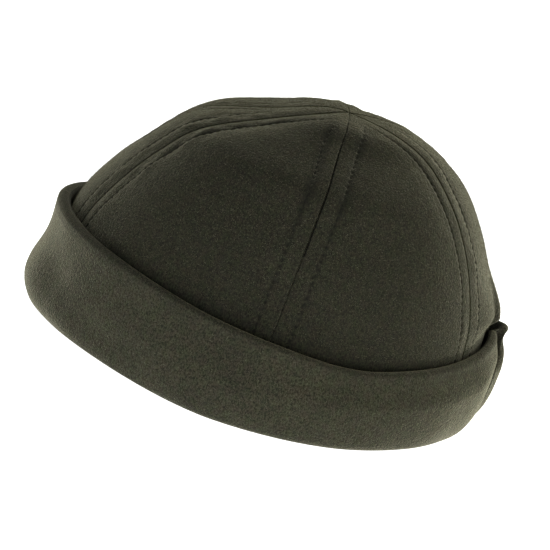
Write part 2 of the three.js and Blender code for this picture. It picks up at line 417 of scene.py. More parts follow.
def waves(seed, count, shortest, longest):
    """A smooth field of soft unevenness: a sum of plane waves, mostly between -1 and 1."""
    draw = np.random.default_rng(seed)
    directions = draw.normal(size=(count, 3))
    directions /= np.linalg.norm(directions, axis=1, keepdims=True)
    lengths = shortest * (longest / shortest) ** draw.random(count)
    phases = draw.random(count) * 2 * math.pi
    weights = lengths / lengths.sum() * WAVE_STRENGTH

    def field(points):
        turns = points @ (directions / lengths[:, None]).T * 2 * math.pi + phases
        return np.sin(turns) @ weights
    return field


# Meshes

def grid_faces(ids):
    """Faces between the neighbours in a grid of point numbers."""
    return np.stack([ids[:-1, :-1], ids[:-1, 1:], ids[1:, 1:], ids[1:, :-1]], -1).reshape(-1, 4)


def rim_faces(fine, coarse, step):
    """Triangles that close a shell between its fine and its coarse border."""
    faces = []
    for index in range(len(coarse) - 1):
        first = index * step
        for part in range(step):
            near = coarse[index] if part < step - 1 else coarse[index + 1]
            faces.append((fine[first + part + 1], fine[first + part], near))
        faces.append((fine[first + step - 1], coarse[index], coarse[index + 1]))
    return faces


def new_object(name, points, faces, material):
    mesh = bpy.data.meshes.new(name)
    mesh.from_pydata((np.asarray(points) * MM).tolist(), [], [tuple(map(int, f)) for f in faces])
    mesh.validate()
    mesh.update()
    mesh.shade_smooth()
    mesh.materials.append(material)
    obj = bpy.data.objects.new(name, mesh)
    bpy.context.scene.collection.objects.link(obj)
    return obj


def store_values(obj, name, values):
    """Keeps one value for each point, for the shader to read."""
    store = obj.data.attributes.new(name, "FLOAT", "POINT")
    store.data.foreach_set("value", values.astype(np.float32).reshape(-1))


def add_materials(obj, materials, kinds):
    """Adds materials, and gives the mesh's first faces theirs: each kind is a material's number."""
    for material in materials:
        obj.data.materials.append(material)
    kinds = kinds.reshape(-1)
    for index in np.flatnonzero(kinds):
        obj.data.polygons[int(index)].material_index = int(kinds[index])


def weld(obj):
    """Joins vertices that lie on one point and drops the faces that this flattens."""
    work = bmesh.new()
    work.from_mesh(obj.data)
    bmesh.ops.remove_doubles(work, verts=work.verts, dist=WELD_DISTANCE_M)
    bmesh.ops.dissolve_degenerate(work, edges=work.edges, dist=WELD_DISTANCE_M)
    bmesh.ops.recalc_face_normals(work, faces=work.faces)
    work.to_mesh(obj.data)
    work.free()
    obj.data.shade_smooth()


# Crown

def crown_section(level):
    table = CROWN_SECTIONS
    # Past the top the rows are mirrored, so that the surface rounds over
    mirrored = table[-2] * np.array([1, -1, -1, -1, 1])
    rows = np.vstack([2 * table[0] - table[1], table, mirrored])
    level = np.asarray(level, float)
    index = np.clip(np.floor(level).astype(int), 0, TOP_LEVEL - 1)
    along = (level - index)[..., None]
    return smooth_join(rows[index], rows[index + 1], rows[index + 2], rows[index + 3], along)


def crown_base(azimuth, level):
    azimuth, level = np.broadcast_arrays(np.asarray(azimuth, float), np.asarray(level, float))
    section = crown_section(level)
    cosine = np.cos(np.radians(azimuth))
    sine = np.sin(np.radians(azimuth))
    reach = np.where(cosine > 0, section[..., 1], section[..., 2])
    x = section[..., 3] * sine
    y = section[..., 4] - reach * cosine
    return np.stack([x, y, section[..., 0]], -1)


def crown_outward(azimuth, level):
    aside = 0.5
    rise = 0.02
    level = np.minimum(level, TOP_LEVEL - 1.5 * rise)
    along = crown_base(azimuth + aside, level) - crown_base(azimuth - aside, level)
    up = crown_base(azimuth, level + rise) - crown_base(azimuth, level - rise)
    return unit(np.cross(along, up))


def back_fold(azimuth, height):
    low = smoothstep(height, *SWELL_RISE) * (1 - smoothstep(height, *SWELL_FALL))
    swell = SWELL_REACH * low * bell(azimuth - SWELL_AZIMUTH, SWELL_WIDTH)
    beside = azimuth - RIDGE_AZIMUTH
    across = bell(beside, np.where(beside < 0, *RIDGE_WIDTHS))
    rise = smoothstep(height, RIDGE_PEAK - RIDGE_RISE, RIDGE_PEAK)
    fade = 1 - np.clip((height - RIDGE_PEAK) / RIDGE_FADE, 0, 1)
    return swell + RIDGE_REACH * across * rise * fade**FADE_POWER


def panel_face(panel, across, level):
    """Outer face of a panel before its seams are sewn: points and outward directions."""
    azimuth = between(panel[1:3], across)
    point = crown_base(azimuth, level)
    height = point[..., 2]
    narrowing = np.clip(crown_section(level)[..., 3] / CROWN_SECTIONS[0, 3], 0, None)
    fade = smoothstep(height, *PUFF_HEIGHTS)
    stand = panel[3] * np.sin(math.pi * across) * narrowing**PUFF_POWER * fade
    spread = unit(point - np.array([0, 0, PUFF_ORIGIN]))
    outward = crown_outward(azimuth, level)
    fold = back_fold(azimuth, height)
    return point + spread * stand[..., None] + outward * fold[..., None], outward


def panel_widths(panel):
    across = np.linspace(0, 1, WIDTH_SAMPLES)
    points, _ = panel_face(panel, across[None, :], LEVELS[:, None])
    return np.linalg.norm(np.diff(points, axis=1), axis=-1).sum(1)


def row_lengths(panel, widths):
    """Lengths along a panel's two rows of topstitching, up to each level."""
    inset = np.minimum(ROW_OFFSET / np.maximum(widths, TINY), 0.5)
    for across in (inset, 1 - inset):
        points, _ = panel_face(panel, across, LEVELS)
        steps = np.linalg.norm(np.diff(points, axis=0), axis=-1)
        yield np.concatenate([[0], np.cumsum(steps)])


def crown_levels():
    """Levels of the mesh's rows, evenly spaced along the crown's side."""
    fine = np.linspace(0, TOP_LEVEL, LEVEL_SAMPLES)
    points = crown_base(ROW_AZIMUTH, fine)
    lengths = np.concatenate([[0], np.cumsum(np.linalg.norm(np.diff(points, axis=0), axis=-1))])
    count = int(round(lengths[-1] / ROW_SPACING / INNER_STEP)) * INNER_STEP
    return np.interp(np.linspace(0, lengths[-1], count + 1), lengths, fine)


LEVELS = crown_levels()
HEIGHTS = crown_section(LEVELS)[:, 0]
soft_lumps = waves(seed=3, count=14, shortest=14, longest=45)
fine_lumps = waves(seed=7, count=16, shortest=5, longest=11)
pucker = waves(seed=11, count=14, shortest=6, longest=13)


def stitch_turn(length):
    """1 at the needle's holes and 0 half-way between them."""
    return 0.5 + 0.5 * np.cos(2 * math.pi * length / STITCH_PITCH)


def tightened(pair, high):
    """A measure low on the crown, and its share of what it gains where the sewing is tight."""
    return pair[0] + pair[1] * high


def seam_relief(distance, length, height, width, sewn_share):
    """How far the sewn cloth stands out or draws in beside a seam."""
    high = smoothstep(height, *TIGHT_HEIGHTS) * (1 - EASING * smoothstep(height, *EASED_HEIGHTS))
    # Cloth edges roll into the seam
    groove = -tightened(GROOVE_DEPTH, high) * np.exp(-((distance / GROOVE_WIDTH) ** GROOVE_POWER))
    # Pressed-open allowances pad the cloth between the seam and the stitching
    part = np.clip(distance / ROW_OFFSET, 0, 1)
    pad = tightened(PAD_HEIGHT, high) * np.sin(math.pi * part) ** PAD_POWER
    # The stitching draws the cloth into a valley, widest near the top
    beside = distance - ROW_OFFSET
    flank = np.where(beside < 0, INNER_FLANK, tightened(OUTER_FLANK, high))
    narrow = -tightened(CREASE_DEPTH, high) * bell(beside, CREASE_WIDTH)
    valley = -tightened(VALLEY_DEPTH, high) * bell(beside, flank)
    # Needle holes
    holes = -HOLE_DEPTH * bell(beside, HOLE_WIDTH) * stitch_turn(length) ** 2
    sewn = pad + (narrow + valley) * sewn_share + holes
    return groove + sewn * smoothstep(width, *SEWN_WIDTHS)


def pressed_nap_and_painted_shade(distance, length, height, width, sewn_share):
    """How far the sewing presses down the nap beside a seam, with painted shade in its valleys and
    needle holes, from 0 to 1.
    """
    high = smoothstep(height, *TIGHT_HEIGHTS)
    beside = distance - ROW_OFFSET
    share = np.minimum(tightened(PRESSED_SHADE_SHARE, high) * sewn_share, MOST_PRESSED_SHADE)
    share = share * bell(beside, tightened(PRESSED_SHADE_WIDTH, high))
    hole_shade = smoothstep(stitch_turn(length), *HOLE_SHADE_TURNS) * bell(beside, HOLE_SHADE_WIDTH)
    return np.maximum(share, hole_shade) * smoothstep(width, *SEWN_WIDTHS)


def panel_surface(panel, across, level, widths, lengths):
    """Outer face of a sewn panel, its points before sewing, and its outward directions."""
    point, outward = panel_face(panel, across, level)
    height = point[..., 2]
    distances = (across * widths, (1 - across) * widths)
    relief = 0
    for distance, length, sewn_share in zip(distances, lengths, panel[4:]):
        relief = relief + seam_relief(distance, length, height, widths, sewn_share)
    edge = np.minimum(*distances)
    near = bell(edge - PUCKER_OFFSET, PUCKER_WIDTH)
    free = smoothstep(edge, *FREE_OF_SEAM)
    ahead = -point[..., 1] / np.maximum(np.hypot(point[..., 0], point[..., 1]), TINY)
    front = FRONT_PUCKER * smoothstep(ahead, *AHEAD_COSINES)
    strength = PUCKER + front * smoothstep(height, *AHEAD_HEIGHTS)
    relief = relief + strength * pucker(point) * near * free * smoothstep(widths, *SEWN_WIDTHS)
    lumps = CROWN_SOFT_LUMPS * soft_lumps(point) + CROWN_FINE_LUMPS * fine_lumps(point)
    relief = relief + lumps * free
    for *middle, radius, depth in CROWN_DENTS:
        relief = relief - depth * bell(np.linalg.norm(point - middle, axis=-1), radius)
    return point + outward * relief[..., None], point, outward


def panel_columns(widths):
    """Distances of a panel's mesh columns from its first seam, for each row."""
    edge = SEAM_COLUMNS
    middle_count = max(int((widths.max() - 2 * edge[-1]) / MIDDLE_SPACING), 4)
    while (2 * len(edge) + middle_count - 1) % INNER_STEP:
        middle_count += 1
    needed = 2 * edge[-1] + LEAST_SPACING * middle_count
    squeeze = np.minimum(1, widths / needed)
    left = edge[None, :] * squeeze[:, None]
    right = widths[:, None] - left[:, ::-1]
    steps = np.arange(1, middle_count + 1) / (middle_count + 1)
    middle = left[:, -1:] + (right[:, :1] - left[:, -1:]) * steps[None, :]
    return np.concatenate([left, middle, right], 1)


def panel_inside(across, widths, outer, base, outward):
    """Inner face of a panel, with the seam allowances ironed open along both seams."""
    seam_distance = np.minimum(across, 1 - across) * widths
    # The allowances add a millimetre of cloth
    allowance = (1 - smoothstep(seam_distance, *ALLOWANCE_EDGE)) * smoothstep(widths, *ALLOWANCE_WIDTHS)
    sag = np.einsum("ijk,ijk->ij", outer - base, outward)
    inward = -outward
    # The lower edge runs level from the outer to the inner face
    inward[0, :, 2] = 0
    inward = unit(inward)
    depth = CROWN_CLOTH + allowance + np.clip(-sag, 0, MOST_SAG)
    inside = base + inward * depth[..., None]
    return inside[::INNER_STEP, ::INNER_STEP]


def panel_shell(name, outer, inner, material):
    """Closes a panel's fine outer and coarse inner face into one object."""
    points = np.concatenate([outer.reshape(-1, 3), inner.reshape(-1, 3)])
    ids = np.arange(len(points))
    first_inner = outer.size // 3
    outer_ids = ids[:first_inner].reshape(outer.shape[:2])
    inner_ids = ids[first_inner:].reshape(inner.shape[:2])
    faces = [*grid_faces(outer_ids), *grid_faces(inner_ids)[:, ::-1]]
    borders = (
        (outer_ids[0], inner_ids[0]),
        (outer_ids[-1][::-1], inner_ids[-1][::-1]),
        (outer_ids[:, 0][::-1], inner_ids[:, 0][::-1]),
        (outer_ids[:, -1], inner_ids[:, -1]),
    )
    for fine, coarse in borders:
        faces += rim_faces(fine, coarse, INNER_STEP)
    return new_object(name, points, faces, material)


def painted_fold_shade(azimuths, heights):
    """Painted shade on the crown just over the turn-up's lip."""
    over_lip = heights - cuff_section(azimuths)[..., 0]
    shade = FOLD_SHADE * (1 - smoothstep(over_lip, *SHADE_HEIGHTS))
    from_front = np.abs((azimuths + 180) % 360 - 180)
    return shade * between((SHADE_IN_FRONT, 1), smoothstep(from_front, *SHADE_AZIMUTHS))


def deep_in_seams(panel, distances, from_end):
    """Mask of the outer faces that lie deep in a panel's two seams, which get painted shade."""
    heights = HEIGHTS[:-1, None]
    open_width = between(OPEN_WIDTHS, smoothstep(heights, *OPEN_HEIGHTS))
    deep = False
    for azimuth, beside in ((panel[1], distances), (panel[2], from_end)):
        shade_top = OPEN_TOP if azimuth == OPEN_SEAM else SEAM_SHADE_TOP
        shade_width = open_width if azimuth == OPEN_SEAM else SEAM_SHADE_WIDTH
        middle = (beside[:-1, :-1] + beside[:-1, 1:]) / 2
        deep = deep | ((middle < shade_width) & (heights < shade_top))
    return deep


def build_panel(panel, material, seam_shade, fold_shade_wool):
    """Builds a panel of the crown. Returns its outer face, and a mask of where its nap grows."""
    widths = panel_widths(panel)
    lengths = [row[:, None] for row in row_lengths(panel, widths)]
    distances = panel_columns(widths)
    across = distances / np.maximum(widths[:, None], TINY)
    across[widths < NO_WIDTH] = np.linspace(0, 1, across.shape[1])
    widths = widths[:, None]
    level = np.repeat(LEVELS[:, None], across.shape[1], 1)
    outer, base, outward = panel_surface(panel, across, level, widths, lengths)
    inner = panel_inside(across, widths, outer, base, outward)
    obj = panel_shell(panel[0].replace("crown_panel", "crown_wool"), outer, inner, material)

    from_end = widths - distances
    # Nap that the sewing presses down, with painted shade along the stitching and just over the turn-up
    sewn = 0
    for distance, length, sewn_share in zip((distances, from_end), lengths, panel[4:]):
        sewn = np.maximum(sewn, pressed_nap_and_painted_shade(distance, length, HEIGHTS[:, None], widths, sewn_share))
    # Painted shade on the crown just over the turn-up
    fold_shade_share = painted_fold_shade(between(panel[1:3], across), outer[..., 2])
    pressed_and_shaded = np.zeros(len(obj.data.vertices))
    pressed_and_shaded[:sewn.size] = np.maximum(sewn, fold_shade_share).reshape(-1)
    store_values(obj, "pressed_nap_and_painted_shade", pressed_and_shaded)

    # Painted shade: a dark wool without sheen deep in the seams, and a less glossy copy of the wool
    # just over the turn-up
    deep = deep_in_seams(panel, distances, from_end)
    in_fold = fold_shade_share[:-1, :-1] > IN_FOLD_SHARE * FOLD_SHADE
    add_materials(obj, (seam_shade, fold_shade_wool), np.where(deep, 1, np.where(in_fold, 2, 0)))
    weld(obj)
    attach(obj, "root")
    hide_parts(panel[0])
    grows = (distances > NAP_SEAM_GAP) & (from_end > NAP_SEAM_GAP) & (level > NAP_FIRST_LEVEL)
    grows &= (sewn < NAP_MOST_PRESSED_SHADE) & (fold_shade_share < NAP_MOST_SHADE * FOLD_SHADE)
    return outer, grows


# Cuff

def cuff_section(azimuth):
    count = len(CUFF_SECTIONS)
    turned = (np.asarray(azimuth, float) % 360) / (360 / count)
    index = np.floor(turned).astype(int) % count
    along = (turned - np.floor(turned))[..., None]
    before, start, end, after = (CUFF_SECTIONS[(index + step) % count] for step in (-1, 0, 1, 2))
    values = smooth_join(before, start, end, after, along)
    values[..., 6] = np.clip(values[..., 6] - RIM_SETTLING, 0, None)
    values[..., 0] -= LIP_DIP * bell(np.asarray(azimuth) % 360 - LIP_DIP_AZIMUTH, LIP_DIP_WIDTH)
    return values


def flap_share(azimuth):
    """How much of the flap at the back seam shows at an azimuth."""
    return smoothstep(azimuth, *FLAP_NEAR) * (1 - smoothstep(azimuth, *FLAP_FAR))


def cuff_reach(azimuth, height):
    section = cuff_section(azimuth)
    top, bulge, bulge_height, lip, waist, strip, lift = np.moveaxis(section, -1, 0)
    flap = flap_share(azimuth)
    top = top + FLAP_RISE * flap
    below = np.clip((bulge_height - height) / (bulge_height - lift), 0, 1)
    low = strip + (bulge - strip) * np.sqrt(1 - below**2)
    up = smoothstep(height, bulge_height, top)
    high = bulge + (lip - bulge) * up - waist * np.sin(math.pi * up)
    flare = smoothstep(height, top - FLAP_DEPTH, top)
    return np.where(height < bulge_height, low, high) + FLAP_REACH * flap * flare


def cuff_loops(azimuths):
    """Sections of the cuff as closed loops, one per azimuth: reach, height and share of relief."""
    section = cuff_section(azimuths)
    flap = flap_share(azimuths)
    top = section[:, 0] + FLAP_RISE * flap
    bulge_height = section[:, 2]
    lift = section[:, 6]
    shoulder = top - CUFF_CLOTH / 2
    columns = []
    leg, corner, strip, bulge, face, lip, wall, leg_back = (
        np.linspace(0, 1, count) for count in CUFF_POINTS
    )

    def add(reach, height, relief):
        one = np.ones_like(azimuths)
        columns.append(np.stack([reach * one, height * one, relief * one], -1))

    # Down the inner leg, round the rim's corner and out along the strip under it
    inner_face = LEG_REACH - CROWN_CLOTH
    for part in leg[:-1]:
        height = LEG_TOP + (lift + CORNER_RADIUS - LEG_TOP) * part
        add(inner_face, height, 0)
    for part in corner:
        angle = math.pi / 2 * part
        reach = inner_face + CORNER_RADIUS * (1 - math.cos(angle))
        add(reach, lift + CORNER_RADIUS * (1 - math.sin(angle)), 0)
    for part in strip[1:-1]:
        start = inner_face + CORNER_RADIUS
        add(start + (section[:, 5] - start) * part, lift, 0)
    # Up the turn-up's outer face
    for part in bulge:
        upward = 1 - math.cos(math.pi / 2 * part)
        height = lift + (bulge_height - lift) * upward
        add(cuff_reach(azimuths, height), height, min(1.0, part * RELIEF_GROWTH))
    for part in face[1:]:
        height = bulge_height + (shoulder - bulge_height) * part
        add(cuff_reach(azimuths, height), height, 1)
    # Over the lip, which has no extra fullness in the flap
    forward = smoothstep(np.cos(np.radians(azimuths)), *FULL_COSINES)
    fullness = between(LIP_FULLNESS, forward) * (1 - flap)
    lip_radius = (CUFF_CLOTH + fullness) / 2
    middle = cuff_reach(azimuths, shoulder) - lip_radius
    for part in lip[1:-1]:
        angle = math.pi * part
        reach = middle + lip_radius * math.cos(angle)
        add(reach, shoulder + CUFF_CLOTH / 2 * math.sin(angle), 1 - part)
    # Down its far side, across the fold's floor and up the leg
    for part in wall:
        height = shoulder + (lift + FOLD_WALL_FOOT - shoulder) * part
        thickness = CUFF_CLOTH + fullness * smoothstep(height, shoulder - FULL_DEPTH, shoulder)
        add(cuff_reach(azimuths, height) - thickness, height, 0)
    foot = cuff_reach(azimuths, lift + FOLD_WALL_FOOT) - CUFF_CLOTH
    for share, height in FOLD_FLOOR:
        add(LEG_REACH + (foot - LEG_REACH) * share, lift + height, 0)
    for part in leg_back:
        height = lift + LEG_FOOT + (LEG_TOP - lift - LEG_FOOT) * part
        add(LEG_REACH, height, 0)
    return np.stack(columns, 1)


def cuff_azimuths():
    """Azimuths of the cuff's columns, close together round its back seam."""
    even = np.arange(0, 360, 360 / CUFF_COLUMNS)
    even = even[np.abs(even - SEAM_AZIMUTH) > SEAM_REACH]
    seam = SEAM_AZIMUTH + np.concatenate([-SEAM_OFFSETS, SEAM_OFFSETS])
    return np.sort(np.concatenate([even, seam]))


def cuff_relief(points, azimuths, beside):
    """How far the cuff's cloth stands out: lumps, dents, and the groove of its back seam."""
    soft = CUFF_SOFT_LUMPS * soft_lumps(points * CUFF_LUMP_SCALE)
    relief = soft + CUFF_FINE_LUMPS * fine_lumps(points)
    for azimuth, middle, half_along, half_height, depth in CUFF_DENTS:
        turn = (azimuths - azimuth + 180) % 360 - 180
        relief -= depth * bell(turn, half_along) * bell(points[..., 2] - middle, half_height)
    # The cloth dips towards the seam on its near side, and on its far side it soon lies prouder
    near_side = NEAR_DIP * np.exp(np.clip(beside, None, 0) / NEAR_DIP_WIDTH)
    relief -= np.where(beside < 0, near_side, 0)
    fade = np.exp(-np.clip(beside - FAR_WIDTH, 0, None) / FAR_FADE)
    far_side = (-FAR_DIP + FAR_RISE * smoothstep(beside, 0, FAR_WIDTH)) * fade
    relief += np.where(beside > 0, far_side, 0)
    relief -= CUT_DEPTH * np.exp(-((np.abs(beside) / CUT_WIDTH) ** CUT_POWER))
    return relief


def cuff_shade(share, height, under_lip, azimuths, beside):
    """Painted shade on the cuff's cloth, from 0 to 1."""
    over_lip = BEHIND_SHADE - LIGHTENING * smoothstep(share, *LIGHTENED_SHARES)
    over_lip = over_lip * smoothstep(height, *BEHIND_HEIGHTS)
    forward = smoothstep(np.cos(np.radians(azimuths)), *FRONT_COSINES)
    on_lip = np.maximum(over_lip, LIP_SHADE + LIP_FRONT_SHADE * forward)
    on_face = UNDER_SHADE * smoothstep(under_lip, *UNDER_DEPTHS)
    on_face = on_face + FRONT_SHADE * forward * smoothstep(under_lip, *FRONT_DEPTHS)
    beyond = BEYOND_SHADE * smoothstep(beside, *BEYOND_START)
    beyond = beyond * (1 - smoothstep(beside, *BEYOND_END))
    return np.maximum(np.where(share > FACE_SHARE, on_face, on_lip), beyond)


def build_cuff(material, lip, fold_shade_wool, near_lip_shade_wool):
    """Builds the cuff. Returns its surface, and a mask of where its nap grows."""
    columns = cuff_azimuths()
    loops = cuff_loops(columns)
    azimuths = np.repeat(columns[:, None], loops.shape[1], 1)
    lean = SEAM_LEAN * (1 - smoothstep(loops[..., 1], *SEAM_LEAN_HEIGHTS))
    azimuths = azimuths - lean * bell(azimuths - SEAM_AZIMUTH, SEAM_LEAN_WIDTH)
    reach, height, share = np.moveaxis(loops, -1, 0)
    angle = np.radians(azimuths)
    x = (RIM_HALF_WIDTH + reach) * np.sin(angle)
    y = RIM_SHIFT - (RIM_HALF_LENGTH + reach) * np.cos(angle)
    points = np.stack([x, y, height], -1)
    along = np.roll(points, -1, 0) - np.roll(points, 1, 0)
    round_section = np.roll(points, -1, 1) - np.roll(points, 1, 1)
    outward = unit(np.cross(along, round_section))
    # Distance from the back seam, along the cloth
    beside = (columns[:, None] - SEAM_AZIMUTH) * math.radians(1) * SEAM_ARC_RADIUS
    beside = np.repeat(beside, loops.shape[1], 1)
    under_lip = height - cuff_section(azimuths)[..., 0]
    # Painted shade on the cuff
    shade = cuff_shade(share, height, under_lip, azimuths, beside)
    points = points + outward * (cuff_relief(points, azimuths, beside) * share)[..., None]
    points[..., 2] = np.maximum(points[..., 2], 0)

    # The faces close both round the hat and round the section
    here = np.arange(share.size).reshape(share.shape)
    beyond = np.roll(here, -1, 0)
    faces = np.stack([here, beyond, np.roll(beyond, -1, 1), np.roll(here, -1, 1)], -1).reshape(-1, 4)
    obj = new_object("cuff_wool_band", points.reshape(-1, 3), faces, material)
    # Less glossy copies of the wool paint shade on the lip, near it and behind it
    high = height > LIP_ZONE
    behind = high & (share < BEHIND_SHARE)
    on_lip = high & ((share < LIP_SHARE) | (under_lip > LIP_FACE_DEPTH))
    nearly = high & (under_lip > NEAR_LIP_DEPTH)
    kinds = np.where(behind, 2, np.where(on_lip, 1, np.where(nearly, 3, 0)))
    add_materials(obj, (lip, fold_shade_wool, near_lip_shade_wool), kinds)
    store_values(obj, "pressed_nap_and_painted_shade", shade)
    weld(obj)
    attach(obj, "root")
    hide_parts("cuff")
    closed = np.concatenate([points, points[:1]])
    grows = np.concatenate([share, share[:1]]) > NAP_LIP_SHARE
    return closed, grows


# Topstitching

def stitch_rows():
    """The stitches of each row of topstitching: points on the sewn cloth, and outward directions."""
    for panel in CROWN_PANELS:
        widths = panel_widths(panel)
        rows = list(row_lengths(panel, widths))
        for number, lengths in enumerate(rows):
            last = np.interp(ROW_TOP_WIDTH, widths[::-1], lengths[::-1])
            first = np.interp(ROW_FOOT_HEIGHT, HEIGHTS, lengths)
            count = int((last - first) / STITCH_PITCH)
            starts = (math.ceil(first / STITCH_PITCH) + np.arange(count)) * STITCH_PITCH
            along = starts[:, None] + np.linspace(0, STITCH_PITCH, STITCH_POINTS)[None, :]
            level = np.interp(along, lengths, LEVELS)
            width = np.interp(level, LEVELS, widths)
            inset = ROW_OFFSET / width
            across = 1 - inset if number else inset
            both = [np.interp(level, LEVELS, row) for row in rows]
            surface, _, outward = panel_surface(panel, across, level, width, both)
            yield surface, outward


def thread_faces():
    """Faces of one stitch: a tube with both its ends closed."""
    faces = []
    for index in range(STITCH_POINTS - 1):
        first = index * THREAD_SIDES
        for side in range(THREAD_SIDES):
            a = first + side
            b = first + (side + 1) % THREAD_SIDES
            faces.append((a, b, b + THREAD_SIDES, a + THREAD_SIDES))
    faces.append(range(THREAD_SIDES)[::-1])
    faces.append(range(STITCH_POINTS * THREAD_SIDES)[-THREAD_SIDES:])
    return faces


def build_stitches(material):
    part = np.linspace(0, 1, STITCH_POINTS)
    rise = -THREAD_DEPTH + THREAD_RISE * np.sin(math.pi * part) ** THREAD_POWER
    radius = THREAD_RADIUS + THREAD_SWELL * np.sin(math.pi * part)
    angles = [2 * math.pi * side / THREAD_SIDES for side in range(THREAD_SIDES)]
    turns = np.array([(math.cos(angle), math.sin(angle)) for angle in angles])
    rings = []
    for surface, outward in stitch_rows():
        for path, normal in zip(surface, outward):
            line = path + normal * rise[:, None]
            # The taut thread is straighter than the cloth under it
            chord = line[0] + (line[-1] - line[0]) * part[:, None]
            line = chord + (line - chord) * THREAD_CURVE
            along = unit(np.gradient(line, axis=0))
            aside = unit(np.cross(along, normal))
            above = np.cross(aside, along)
            arms = aside[:, None] * turns[:, :1] + above[:, None] * turns[:, 1:]
            rings.append(line[:, None] + arms * radius[:, None, None])
    points = np.array(rings).reshape(-1, 3)
    firsts = range(0, len(points), STITCH_POINTS * THREAD_SIDES)
    faces = [[first + corner for corner in face] for first in firsts for face in thread_faces()]
    obj = new_object("crown_topstitching", points, faces, material)
    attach(obj, "root")


# Nap: short fibres that stand out of the felt, each a slender closed spike

def fibre_mesh(name, grids, count, seed, material):
    """Spreads fibres evenly over grids of points. Each grid comes with a mask of where they grow."""
    draw = np.random.default_rng(seed)
    quads = []
    for points, grows in grids:
        corners = np.stack([points[:-1, :-1], points[:-1, 1:], points[1:, 1:], points[1:, :-1]], 2)
        quads.append(corners[grows[:-1, :-1]])
    quads = np.concatenate(quads)
    normals = np.cross(quads[:, 2] - quads[:, 0], quads[:, 3] - quads[:, 1])
    areas = np.linalg.norm(normals, axis=1)
    chosen = draw.choice(len(quads), size=count, p=areas / areas.sum())
    normal = unit(normals[chosen])
    quad = quads[chosen]
    u = draw.random(count)[:, None]
    v = draw.random(count)[:, None]
    first_side = quad[:, 0] * (1 - u) + quad[:, 1] * u
    second_side = quad[:, 3] * (1 - u) + quad[:, 2] * u
    root = first_side * (1 - v) + second_side * v
    aside = unit(np.cross(normal, [0.0, 0.0, 1.0]) + TINY)
    down = np.cross(aside, normal)
    angle = draw.uniform(-math.pi, math.pi, count)[:, None]
    lie = down * np.cos(angle) + aside * np.sin(angle)
    rise = np.radians(between(NAP_RISE, draw.random(count)))[:, None]
    length = between(NAP_LENGTH, draw.random(count)[:, None] ** LENGTH_POWER)
    tip = root + (lie * np.cos(rise) + normal * np.sin(rise)) * length
    root = root - normal * NAP_ROOT
    across = unit(np.cross(tip - root, normal))
    above = unit(np.cross(across, tip - root))
    corners = np.stack([
        root + across * NAP_RADIUS,
        root - across * NAP_RADIUS,
        root + above * NAP_RADIUS * NAP_RIDGE,
        tip,
    ], 1).reshape(-1, 3)
    first = np.arange(count)[:, None, None] * 4
    spike = np.array([[0, 1, 2], [0, 3, 1], [1, 3, 2], [2, 3, 0]])
    faces = (first + spike[None]).reshape(-1, 3)
    obj = new_object(name, corners, faces, material)
    # A few of the fibres are much paler than the rest
    store_values(obj, "tone", np.repeat(draw.random(count) ** TONE_POWER, 4))
    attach(obj, "root")


# Materials

class Nodes:
    """Adds and links shader nodes in one material."""

    def __init__(self, name):
        self.material = bpy.data.materials.new(name)
        self.material.use_nodes = True
        self.tree = self.material.node_tree
        self.shader = self.tree.nodes["Principled BSDF"]
        self.place = self.add("ShaderNodeTexCoord").outputs["Object"]

    def add(self, kind, inputs=None, **settings):
        node = self.tree.nodes.new(kind)
        for key, value in settings.items():
            setattr(node, key, value)
        for key, value in (inputs or {}).items():
            self.feed(node.inputs[key], value)
        return node

    def feed(self, socket, value):
        if isinstance(value, bpy.types.NodeSocket):
            self.tree.links.new(value, socket)
        else:
            socket.default_value = value

    def shade(self, inputs):
        """Sets or links inputs of the material's shader."""
        for key, value in inputs.items():
            self.feed(self.shader.inputs[key], value)

    def attribute(self, name):
        return self.add("ShaderNodeAttribute", attribute_name=name).outputs["Fac"]

    def mapping(self, inputs):
        return self.add("ShaderNodeMapping", {"Vector": self.place, **inputs}).outputs["Vector"]

    def noise(self, place, scale, detail, roughness=0.5, distortion=0.0):
        return self.add("ShaderNodeTexNoise", {
            "Vector": place, "Scale": scale, "Detail": detail,
            "Roughness": roughness, "Distortion": distortion,
        }).outputs["Fac"]

    def span(self, value, low, high, to_low=0.0, to_high=1.0):
        return self.add("ShaderNodeMapRange", {
            "Value": value, "From Min": low, "From Max": high, "To Min": to_low, "To Max": to_high,
        }).outputs["Result"]

    def math(self, operation, first, second):
        return self.add("ShaderNodeMath", {0: first, 1: second}, operation=operation).outputs[0]

    def mix(self, share, first, second, blend="MIX"):
        node = self.add("ShaderNodeMix", {"Factor": share}, data_type="RGBA", blend_type=blend)
        self.feed(node.inputs[6], first)
        self.feed(node.inputs[7], second)
        return node.outputs[2]

    def bump(self, height, strength, distance, normal=None):
        inputs = {"Height": height, "Strength": strength, "Distance": distance}
        if normal:
            inputs["Normal"] = normal
        return self.add("ShaderNodeBump", inputs).outputs["Normal"]


